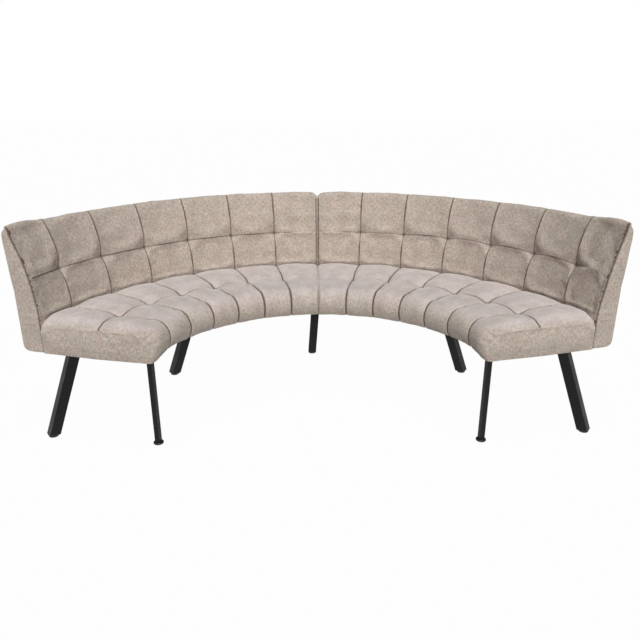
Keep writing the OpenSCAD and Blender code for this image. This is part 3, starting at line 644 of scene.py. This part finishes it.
def back_skin(columns, rows, seed, side):
    """Coarse points of the back's cover, before it is blown up."""
    pad, u, angle = (a[:, None] for a in columns)
    row, t, along = (a[None, :] for a in rows)
    radius, height, normal_r, normal_z = back_path(row, t)
    last, first = pad == COLUMNS - 1, pad == 0
    fade_joint = np.where(first, step(1 - u, 0.45, 0.9), 0)
    fade_end = np.where(last, step(u, *ROW_END[side]), 0)
    at_row = np.where(row == 0, step(t, 0.5, 0.6), step(1 - t, 0.5, 0.6))
    at_top = np.where(row == 1, step(t, 0.72, 0.95), 0)
    across = bump(u)
    border = (first & (u < 0.5)) | (last & (u > 0.5))
    across = across + (1 - across) * at_top * 0.7 * ~border
    lengthways = bump(t)
    lengthways = lengthways + (1 - lengthways) * (fade_joint * 0.8 + fade_end) * at_row
    rng = np.random.default_rng(seed)
    plump = 1 + 0.12 * rng.uniform(-1, 1, (COLUMNS, 2))[pad.astype(int), row.astype(int)]
    lift = plump * quilt(across, lengthways, sizes().back_crown, sizes().back_rise)
    near_tuft = tuft_distance(angle, along - LOW_LENGTH, BACK_RADIUS)
    lift = lift - sizes().tuft_depth * np.exp(-(near_tuft / TUFT_REACH) ** 2)
    # The outermost pad rides up to the side seam, and then rounds off to it
    from_end = np.radians(BACK_END - angle) * BACK_RADIUS
    ride = np.where(last, step(u, 0.45, 0.95), 0)
    side_lift = SIDE_BOW[side] * bow(height) + np.where(row == 1, 0.010 * step(t, 0.7, 0.9), 0)
    pinch = ROW_PINCH[side] * np.exp(-((along - LOW_LENGTH) / 0.018) ** 2)
    swell = (0.010 - pinch) * step(from_end, -0.010, 0.040)
    lift = lift * (1 - ride) + (side_lift + swell) * ride
    lift = lift * np.where(row == 0, step(height - BACK_FOOT_Z, -0.004, CREASE_HOLD), 1)
    from_joint = angle - BACK_START
    drop = JOINT_DROP * round_off(from_joint, JOINT_ROUND) * step(height, HOOK_Z, BACK_TOP_Z)
    held = (1 - TOP_HOLD * step(t, 0.3, 0.9)) * (1 - step(t, 0.93, 1.0))
    lift = lift * np.where(row == 1, held, 1)
    arch = (ROW_ARCH[side] * step(angle, *ARCH_ANGLES) * np.sin(np.pi * u)
            * np.exp(-((along - LOW_LENGTH) / 0.05) ** 2))
    upright = np.where(row == 1, step(t, 0.3, 0.8) * (1 - step(t, 0.9, 1.0)), 0)
    rise = arch + END_RISE[side] * step(angle, *CORNER_ANGLES) * upright
    return polar(radius + normal_r * lift + rise * math.tan(LEAN),
                 height + normal_z * lift - drop + rise, angle)


def back_cover(side, seed, material):
    columns = Stations([BACK_START] + [PAD_PITCH * k for k in range(1, COLUMNS)] + [BACK_END],
                       16, 36)
    rows = Stations([0, LOW_LENGTH, LOW_LENGTH + HIGH_LENGTH + TOP_LENGTH], 20, 44)
    start = back_skin(columns.coarse, rows.coarse, seed, side)
    pinned = stitched_lines(columns.coarse, rows.coarse, LOW_LENGTH + HIGH_LENGTH * 0.9)
    blown = inflate(start, pinned, 0.010)
    skin = np.einsum("ai,bj,ijc->abc", columns.weights, rows.weights, blown)
    pad, u, angle = (a[:, None] for a in columns.fine)
    along = rows.fine[2][None, :]
    radius = np.hypot(skin[..., 0], skin[..., 1] - ARC_Y)
    top = LOW_LENGTH + HIGH_LENGTH
    fade_u = 0.012 * step(along, top + 0.012, top + 0.035) + 0 * angle
    fade_v = 0.02 * (np.where(pad == 0, step(1 - u, 0.35, 0.8), 0)
                     + np.where(pad == COLUMNS - 1, step(u, *ROW_END[side]), 0)) + 0 * along
    gap = seam_distance(columns.fine, rows.fine, radius, LOW_LENGTH, fade_u, fade_v)
    skin = roughen(groove(skin, gap, sizes().groove_depth), gap, seed)
    cover = Cover()
    uv = np.stack(np.broadcast_arrays(np.radians(angle) * BACK_RADIUS, along + 0.9), -1)
    to_tuft = tuft_distance(angle, along - LOW_LENGTH, BACK_RADIUS)
    # Painted shade: the seam's dark widens into a spot round each tuft, for the shade in its dip and
    # its crushed pile
    gap = np.minimum(gap, to_tuft * TUFT_SHADE)
    cover.grid(skin, uv, gap)
    angles = columns.fine[2]
    slope = (float(front_line(HOOK_Z)) + FOAM_TOP - CREASE_RADIUS - FOAM_BASE)
    ones = np.ones_like(angles)
    edge = float(np.hypot(*(skin[10, -1] - (0, ARC_Y, 0))[:2]))
    hook = polar(edge * ones, (HOOK_Z + FIT) * ones, angles)
    panel_top = polar((CREASE_RADIUS + FOAM_BASE + slope - FIT) * ones, (HOOK_Z + FIT) * ones,
                      angles)
    panel_foot = polar((CREASE_RADIUS + FOAM_BASE - FIT) * ones, (DECK_TOP + FIT) * ones, angles)
    toe = polar((CREASE_RADIUS + FIT) * ones, (DECK_TOP + FIT) * ones, angles)
    strip = np.stack([skin[:, -1], hook, panel_top, panel_foot, toe, skin[:, 0]], 1)
    cover.grid(strip, np.stack([strip[..., 0], strip[..., 2]], -1))
    cover.flat(list(skin[0]) + list(strip[0][1:-1]))
    cover.flat(list(skin[-1]) + list(strip[-1][1:-1]))
    name = "left" if side < 0 else "right"
    return cover.sew(f"back_padding_{name}", side, material, f"back_cushion_{name}")


# Panels


def outer_line(z):
    """Radius of the outside of the back."""
    top_r = ROLL_R + TOP_ROLL
    return OUTER_BACK_RADIUS + (top_r - OUTER_BACK_RADIUS) * (z - EDGE_Z) / (ROLL_Z - EDGE_Z)


def spaced(line, places):
    """Points at even shares of the length of a line."""
    line = np.array(line, float)
    lengths = np.concatenate([[0], np.cumsum(np.linalg.norm(np.diff(line, axis=0), axis=1))])
    return np.stack([np.interp(places * lengths[-1], lengths, line[:, k]) for k in (0, 1)], -1)


def over_top(drop, reach):
    """Radius and height of the rolled top edge, from its rear up to its crest."""
    q = np.linspace(0, math.pi / 2 * reach, 12)
    return np.stack([ROLL_R + TOP_ROLL * np.cos(q), ROLL_Z - drop + TOP_ROLL * np.sin(q)], -1)


def end_sway(z):
    """How far the outside of the back sways in and out at its outer end."""
    return np.interp(z, (0.40, 0.50, 0.57, 0.596, 0.62, 0.65, 0.72, 0.785, 0.815),
                     (0, -0.0035, -0.005, -0.0062, -0.004, -0.002, 0, 0.0022, 0))


def rear_rail(rows, drop, corner):
    """Rear border of an upright panel, from its foot over the rolled top edge."""
    z = np.linspace(EDGE_Z, ROLL_Z - drop, 120)
    radius = outer_line(z) - corner * round_off(z - EDGE_Z, corner)
    radius = radius + (end_sway(z) if drop == 0 else 0)
    line = np.concatenate([np.stack([radius, z], -1)[:-1], over_top(drop, 0.8)])
    return spaced(line, crowded(rows, 0.5))


def side_panel(side, seed, material, name, node, angle, toward, thick, borders, puff,
               rim_width):
    """A thin padded panel that closes a side of the back; toward is the way that it faces."""
    front, rear = borders
    count = 26
    s = crowded(count, 0.8)[None, :, None]
    flat = front[:, None] * (1 - s) + rear[:, None] * s
    border = np.concatenate([flat[:, 0], flat[-1, :], flat[:, -1], flat[0, :]])
    away = np.min(np.linalg.norm(flat[:, :, None] - border[None, None], axis=-1), 2)
    rim = 1 - round_off(away, rim_width)
    wave = fractal(np.concatenate([flat, 0 * flat[..., :1]], -1), 11, seed, 2)
    bulge = puff * ((1 - round_off(away, 0.045)) + 0.4 * wave * np.clip(away / 0.02, 0, 1))
    metre = 180 / math.pi / 1.16
    outer_angle = angle + toward * (bulge * metre - thick * metre * (1 - rim))
    inner_angle = np.full(away.shape, angle - toward * thick * metre)
    outer = polar(flat[..., 0], flat[..., 1], outer_angle)
    inner = polar(flat[..., 0], flat[..., 1], inner_angle)
    cover = Cover()
    from_front = s[..., 0] * np.linalg.norm(rear - front, axis=1)[:, None]
    cover.grid(outer, flat, from_front + 0.0006)
    cover.grid(inner, flat)
    for line_outer, line_inner in ((outer[0], inner[0]), (outer[-1], inner[-1]),
                                   (outer[:, 0], inner[:, 0]), (outer[:, -1], inner[:, -1])):
        pair = np.stack([line_outer, line_inner], 1)
        cover.grid(pair, pair[..., 1:])
    return cover.sew(name, side, material, node)


def gusset(side, seed, material):
    """The plain wedge at the outer end of the back."""
    rows = Stations([0, LOW_LENGTH, LOW_LENGTH + HIGH_LENGTH + TOP_LENGTH], 20, 44)
    end = (np.array([COLUMNS - 1]), np.array([1.0]), np.array([BACK_END]))
    seam = back_skin(end, rows.fine, seed, side)[0]
    radius = np.hypot(seam[:, 0], seam[:, 1] - ARC_Y)
    front_half = radius < ROLL_R
    seam = np.stack([radius, seam[:, 2]], -1)[front_half]
    line = np.concatenate([[[CREASE_RADIUS + FIT, EDGE_Z]], seam])
    front = spaced(line, crowded(70, 0.5))
    name = "left" if side < 0 else "right"
    return side_panel(side, seed, material, f"gusset_{name}", f"back_end_panel_{name}",
                      MODULE_ANGLE, 1, 0.0155, (front, rear_rail(70, 0, 0.028)), 0.003,
                      0.006)


def joint_side(side, seed, material):
    """The flat side of the back where the modules meet."""
    z = np.linspace(EDGE_Z, ROLL_Z - JOINT_DROP, 60)
    line = np.stack([front_line(z) + 0.002, z], -1)
    name = "left" if side < 0 else "right"
    return side_panel(side, seed, material, f"joint_side_{name}", f"back_joint_panel_{name}",
                      START_ANGLE, -1, 0.0100,
                      (spaced(line, crowded(50, 0.5)), rear_rail(50, JOINT_DROP, 0.006)), 0.0005,
                      0.012)


def outer_back(side, seed, material):
    """The plain upholstered outside of the back."""
    u, v = crowded(90, 0.85), crowded(30, 0.85)
    angle = (BACK_START + u * (BACK_END - BACK_START))[:, None]
    z = (EDGE_Z + v * (BOARD_TOP - EDGE_Z))[None, :]
    base = outer_line(z) + end_sway(z) * np.exp(-np.radians(BACK_END - angle) / 0.06)
    across = np.radians(np.minimum(angle - BACK_START, BACK_END - angle)) * OUTER_BACK_RADIUS
    away = np.minimum(across, np.minimum(z - EDGE_Z, BOARD_TOP - z))
    flat = polar(base, z + 0 * angle, angle)
    wave = fractal(flat, 6, seed, 2) * 0.0015 * np.clip(away / 0.03, 0, 1)
    swell = 0.004 * (1 - round_off(away, 0.05)) - 0.0045 * round_off(away, 0.006)
    outer = polar(base + swell + wave, z + 0 * angle, angle)
    inner = polar(base - OUTER_BACK_THICKNESS, z + 0 * angle, angle)
    cover = Cover()
    uv = np.stack(np.broadcast_arrays(np.radians(angle) * OUTER_BACK_RADIUS, z), -1)
    cover.grid(outer, uv, away)
    cover.grid(inner, uv)
    for line_outer, line_inner in ((outer[0], inner[0]), (outer[-1], inner[-1]),
                                   (outer[:, 0], inner[:, 0]), (outer[:, -1], inner[:, -1])):
        pair = np.stack([line_outer, line_inner], 1)
        cover.grid(pair, pair[..., 1:])
    name = "left" if side < 0 else "right"
    return cover.sew(f"rear_cover_{name}", side, material, f"outer_back_{name}")


# Materials


class Finish:
    """A node material under construction."""

    def __init__(self, name):
        self.material = bpy.data.materials.new(name)
        self.material.use_nodes = True
        self.tree = self.material.node_tree
        self.shader = self.tree.nodes["Principled BSDF"]

    def node(self, kind, **values):
        node = self.tree.nodes.new(kind)
        for key, value in values.items():
            if key in node.inputs:
                node.inputs[key].default_value = value
            else:
                setattr(node, key, value)
        return node

    def link(self, source, target):
        self.tree.links.new(source, target)

    def noise(self, vector, scale, detail, roughness=0.55):
        node = self.node("ShaderNodeTexNoise", Scale=scale, Detail=detail, Roughness=roughness)
        self.link(vector, node.inputs["Vector"])
        return node.outputs["Fac"]

    def stretched(self, vector, scale):
        node = self.node("ShaderNodeMapping", Scale=scale)
        self.link(vector, node.inputs["Vector"])
        return node.outputs["Vector"]

    def math(self, operation, first, second=None, clamp=False):
        node = self.node("ShaderNodeMath", operation=operation, use_clamp=clamp)
        for socket, value in zip(node.inputs, (first, second)):
            if value is None:
                continue
            if isinstance(value, (int, float)):
                socket.default_value = value
            else:
                self.link(value, socket)
        return node.outputs[0]

    def spread(self, value, low, high, to_low=0.0, to_high=1.0):
        node = self.node("ShaderNodeMapRange")
        for key, number in (("From Min", low), ("From Max", high), ("To Min", to_low),
                            ("To Max", to_high)):
            node.inputs[key].default_value = number
        self.link(value, node.inputs["Value"])
        return node.outputs["Result"]

    def mix(self, factor, first, second):
        node = self.node("ShaderNodeMix", data_type="RGBA")
        for socket, value in zip((node.inputs[0], node.inputs[6], node.inputs[7]),
                                 (factor, first, second)):
            if isinstance(value, (int, float)):
                socket.default_value = value
            elif isinstance(value, bpy.types.NodeSocket):
                self.link(value, socket)
            else:
                socket.default_value = (*value, 1)
        return node.outputs[2]

    def relief(self, height, strength, distance):
        node = self.node("ShaderNodeBump", Strength=strength, Distance=distance)
        self.link(height, node.inputs["Height"])
        self.link(node.outputs["Normal"], self.shader.inputs["Normal"])


def chenille_finish():
    finish = Finish("chenille")
    palette = colours()
    uv = finish.node("ShaderNodeUVMap", uv_map="cloth").outputs["UV"]
    slub = finish.noise(finish.stretched(uv, (180, 74, 1)), 1, 5, 0.72)
    fleck = finish.noise(finish.stretched(uv, (70, 130, 1)), 1, 5, 0.75)
    patch = finish.noise(finish.stretched(uv, (19, 13, 1)), 1, 4, 0.6)
    tint = finish.noise(finish.stretched(uv, (30, 22, 1)), 1, 3, 0.6)
    grain = finish.math("ADD", finish.math("MULTIPLY", slub, 0.55),
                        finish.math("MULTIPLY", fleck, 0.45))
    base = finish.mix(finish.spread(grain, 0.44, 0.56), palette.chenille_shade,
                      palette.chenille_light)
    base = finish.mix(0.12, base, palette.chenille)
    warm = finish.mix(finish.spread(tint, 0.35, 0.65), (0.44, 0.43, 0.31), (0.52, 0.37, 0.33))
    base = finish.mix(0.32, base, warm)
    # Painted highlight: cover that faces up is mixed up to half way towards a pale lilac, for light
    # from above and the pile's sheen on the tops
    painted_top_light = finish.node("ShaderNodeAttribute", attribute_name="painted_top_light").outputs["Fac"]
    base = finish.mix(finish.spread(painted_top_light, 0.3, 1.0, 0.0, 0.50), base, (0.68, 0.615, 0.64))
    dark = finish.spread(fleck, 0.58, 0.70)
    base = finish.mix(finish.math("MULTIPLY", dark, 0.65), base, (0.13, 0.105, 0.085))
    crushed = finish.spread(patch, 0.34, 0.66, 0.0, 0.42)
    base = finish.mix(crushed, base, palette.chenille_shade)
    # Dark thread in the seams, together with painted shade round the tufts and along the rear corner
    # of the seat's end
    gap = finish.node("ShaderNodeAttribute", attribute_name="seam_and_shade_gap").outputs["Fac"]
    seam = finish.spread(gap, 0.0012, 0.0048, 1.0, 0.0)
    base = finish.mix(finish.math("MULTIPLY", seam, 0.95), base, palette.thread)
    finish.link(base, finish.shader.inputs["Base Color"])
    finish.shader.inputs["Roughness"].default_value = 0.85
    finish.shader.inputs["Specular IOR Level"].default_value = 0.2
    finish.shader.inputs["Sheen Weight"].default_value = 0.3
    finish.shader.inputs["Sheen Roughness"].default_value = 0.45
    weave = finish.noise(finish.stretched(uv, (420, 360, 1)), 1, 2, 0.6)
    height = finish.math("ADD", grain, finish.math("MULTIPLY", weave, 0.5))
    finish.relief(height, 0.6, 0.002)
    return finish.material


def coated_steel_finish():
    finish = Finish("black_powder_coat")
    where = finish.node("ShaderNodeTexCoord").outputs["Object"]
    orange_peel = finish.noise(where, 900, 2)
    cloud = finish.noise(where, 14, 3)
    finish.shader.inputs["Base Color"].default_value = (*colours().steel, 1)
    finish.link(finish.spread(cloud, 0.3, 0.7, 0.42, 0.54), finish.shader.inputs["Roughness"])
    finish.shader.inputs["Specular IOR Level"].default_value = 0.22
    finish.relief(orange_peel, 0.15, 0.0002)
    return finish.material


def plain_finish(name, colour, roughness, metallic=0.0, scale=60, contrast=0.12):
    finish = Finish(name)
    where = finish.node("ShaderNodeTexCoord").outputs["Object"]
    cloud = finish.noise(where, scale, 4)
    darker = tuple(c * (1 - contrast) for c in colour)
    lighter = tuple(min(1, c * (1 + contrast)) for c in colour)
    finish.link(finish.mix(cloud, darker, lighter), finish.shader.inputs["Base Color"])
    finish.link(finish.spread(cloud, 0.2, 0.8, roughness - 0.06, roughness + 0.06),
                finish.shader.inputs["Roughness"])
    finish.shader.inputs["Metallic"].default_value = metallic
    finish.relief(cloud, 0.2, 0.0003)
    return finish.material


def wood_finish(name, pale, dark):
    finish = Finish(name)
    where = finish.node("ShaderNodeTexCoord").outputs["Object"]
    grain = finish.noise(finish.stretched(where, (30, 30, 260)), 1, 5)
    finish.link(finish.mix(finish.spread(grain, 0.3, 0.7), dark, pale),
                finish.shader.inputs["Base Color"])
    finish.shader.inputs["Roughness"].default_value = 0.6
    finish.relief(grain, 0.2, 0.0004)
    return finish.material


# Operators


class BANQUETTE_OT_padding(bpy.types.Operator):
    """Sews the tufted seats and backs"""

    bl_idname = "banquette.padding"
    bl_label = "Sew the padding"

    def execute(self, context):
        cloth = chenille_finish()
        for side, seed in ((1, 3), (-1, 8)):
            seat_cover(side, seed, cloth)
            back_cover(side, seed + 1, cloth)
        return {"FINISHED"}


class BANQUETTE_OT_panels(bpy.types.Operator):
    """Covers the ends, the joint sides and the outside of the back"""

    bl_idname = "banquette.panels"
    bl_label = "Cover the panels"

    def execute(self, context):
        cloth = bpy.data.materials["chenille"]
        for side, seed in ((1, 21), (-1, 34)):
            gusset(side, seed, cloth)
            joint_side(side, seed + 1, cloth)
            outer_back(side, seed + 2, cloth)
        return {"FINISHED"}


class BANQUETTE_OT_frame_finishes(bpy.types.Operator):
    """Gives the frame, legs, glides and fasteners their finishes"""

    bl_idname = "banquette.frame_finishes"
    bl_label = "Finish the frame"

    def execute(self, context):
        steel = coated_steel_finish()
        plastic = plain_finish("black_plastic", (0.016, 0.016, 0.016), 0.5, scale=300)
        zinc = plain_finish("zinc_plate", (0.62, 0.62, 0.65), 0.34, 1.0, scale=220)
        beech = wood_finish("beech", (0.60, 0.38, 0.22), (0.42, 0.24, 0.12))
        ply = wood_finish("birch_ply", (0.68, 0.50, 0.32), (0.52, 0.35, 0.20))
        felt = plain_finish("dust_cloth", (0.020, 0.020, 0.021), 0.95, scale=500, contrast=0.4)
        by_slot = {"black_steel": steel, "black_plastic": plastic, "zinc_steel": zinc,
                   "beech": beech, "plywood": ply, "dust_cloth": felt}
        for row in frame["record"]["subparts"]:
            material = by_slot.get(row["material_slot"])
            if material is None:
                continue
            mesh = frame["nodes"][row["node"]].data
            mesh.materials.clear()
            mesh.materials.append(material)
        return {"FINISHED"}


# Camera of the photograph, in pixels of its 640 pixel frame and metres about the arc's centre
PHOTO_WIDTH = 640
FOCAL_PIXELS = 614.2
EYE = (-0.030, -1.907, 1.297)
PITCH, YAW, ROLL = 20.26, 0.8, -0.1


def stage_finish():
    """Pale floor that keeps the shadow and shows white to the camera and to reflections."""
    finish = Finish("studio_floor")
    finish.shader.inputs["Base Color"].default_value = (*colours().floor, 1)
    finish.shader.inputs["Roughness"].default_value = 0.9
    path = finish.node("ShaderNodeLightPath")
    seen = finish.math("MAXIMUM", path.outputs["Is Camera Ray"], path.outputs["Is Glossy Ray"])
    seen = finish.math("MAXIMUM", seen, path.outputs["Is Transmission Ray"])
    glow = finish.node("ShaderNodeEmission", Color=(1, 1, 1, 1), Strength=1.0)
    blend = finish.node("ShaderNodeMixShader")
    finish.link(finish.math("MULTIPLY", seen, 0.975), blend.inputs[0])
    finish.link(finish.shader.outputs[0], blend.inputs[1])
    finish.link(glow.outputs[0], blend.inputs[2])
    finish.link(blend.outputs[0], finish.tree.nodes["Material Output"].inputs["Surface"])
    return finish.material


def studio_world():
    """Soft light all round, and plain white behind the bench."""
    world = bpy.data.worlds.new("studio")
    world.use_nodes = True
    nodes, links = world.node_tree.nodes, world.node_tree.links
    nodes.clear()
    path = nodes.new("ShaderNodeLightPath")
    soft, white = nodes.new("ShaderNodeBackground"), nodes.new("ShaderNodeBackground")
    soft.inputs["Color"].default_value = (1.0, 0.985, 0.97, 1)
    soft.inputs["Strength"].default_value = 0.03
    white.inputs["Color"].default_value = (1, 1, 1, 1)
    seen = nodes.new("ShaderNodeMath")
    seen.operation = "MAXIMUM"
    blend, out = nodes.new("ShaderNodeMixShader"), nodes.new("ShaderNodeOutputWorld")
    links.new(path.outputs["Is Camera Ray"], seen.inputs[0])
    links.new(path.outputs["Is Transmission Ray"], seen.inputs[1])
    links.new(seen.outputs[0], blend.inputs[0])
    links.new(soft.outputs[0], blend.inputs[1])
    links.new(white.outputs[0], blend.inputs[2])
    links.new(blend.outputs[0], out.inputs[0])
    bpy.context.scene.world = world


def add_lamp(name, azimuth, elevation, softness, strength):
    """Distant soft lamp; azimuth 0 is straight in front, positive to the right."""
    data = bpy.data.lights.new(name, "SUN")
    data.angle = math.radians(softness)
    data.energy = strength
    lamp = bpy.data.objects.new(name, data)
    side, height = math.radians(azimuth), math.radians(elevation)
    away = Vector((math.sin(side) * math.cos(height), -math.cos(side) * math.cos(height),
                   math.sin(height)))
    lamp.location = away * 5
    lamp.rotation_euler = (-away).to_track_quat("-Z", "Y").to_euler()
    bpy.context.scene.collection.objects.link(lamp)


class BANQUETTE_OT_studio(bpy.types.Operator):
    """Sets up the floor, the light and the camera"""

    bl_idname = "banquette.studio"
    bl_label = "Set up the studio"

    def execute(self, context):
        bpy.ops.object.select_all(action="DESELECT")
        bpy.ops.mesh.primitive_plane_add(size=60)
        floor = context.active_object
        floor.name = "studio_floor"
        floor.data.materials.append(stage_finish())
        studio_world()
        add_lamp("front", 6, 26, 20, 2.1)
        add_lamp("top", 0, 78, 35, 1.9)

        pitch, yaw = math.radians(PITCH), math.radians(YAW)
        forward = Vector((math.sin(yaw) * math.cos(pitch), math.cos(yaw) * math.cos(pitch),
                          -math.sin(pitch)))
        right = Vector((math.cos(yaw), -math.sin(yaw), 0))
        up = right.cross(forward)
        roll = math.radians(ROLL)
        right, up = (math.cos(roll) * right + math.sin(roll) * up,
                     math.cos(roll) * up - math.sin(roll) * right)
        data = bpy.data.cameras.new("camera")
        data.sensor_width = 36
        data.lens = data.sensor_width * FOCAL_PIXELS / PHOTO_WIDTH
        camera = bpy.data.objects.new("camera", data)
        camera.matrix_world = Matrix((
            (right.x, up.x, -forward.x, EYE[0]), (right.y, up.y, -forward.y, EYE[1] + ARC_Y),
            (right.z, up.z, -forward.z, EYE[2]), (0, 0, 0, 1)))
        context.scene.collection.objects.link(camera)
        context.scene.camera = camera
        context.scene.view_settings.view_transform = "Standard"
        return {"FINISHED"}


STEPS = (BANQUETTE_OT_padding, BANQUETTE_OT_panels, BANQUETTE_OT_frame_finishes,
         BANQUETTE_OT_studio)


class BANQUETTE_PT_steps(bpy.types.Panel):
    """Lists the steps that make the bench"""

    bl_label = "Banquette"
    bl_idname = "BANQUETTE_PT_steps"
    bl_space_type = "VIEW_3D"
    bl_region_type = "UI"
    bl_category = "Banquette"

    def draw(self, context):
        for group in (context.scene.banquette_sizes, context.scene.banquette_colours):
            for name in group.bl_rna.properties.keys():
                if name not in ("rna_type", "name"):
                    self.layout.prop(group, name)
        for step_class in STEPS:
            self.layout.operator(step_class.bl_idname)


CLASSES = (BanquetteSizes, BanquetteColours, *STEPS, BANQUETTE_PT_steps)


def register():
    for cls in CLASSES:
        bpy.utils.register_class(cls)
    bpy.types.Scene.banquette_sizes = bpy.props.PointerProperty(type=BanquetteSizes)
    bpy.types.Scene.banquette_colours = bpy.props.PointerProperty(type=BanquetteColours)


def unregister():
    del bpy.types.Scene.banquette_sizes
    del bpy.types.Scene.banquette_colours
    for cls in reversed(CLASSES):
        bpy.utils.unregister_class(cls)


def main():
    register()
    bpy.ops.banquette.padding()
    bpy.ops.banquette.panels()
    bpy.ops.banquette.frame_finishes()
    bpy.ops.banquette.studio()


if __name__ == "__main__":
    main()
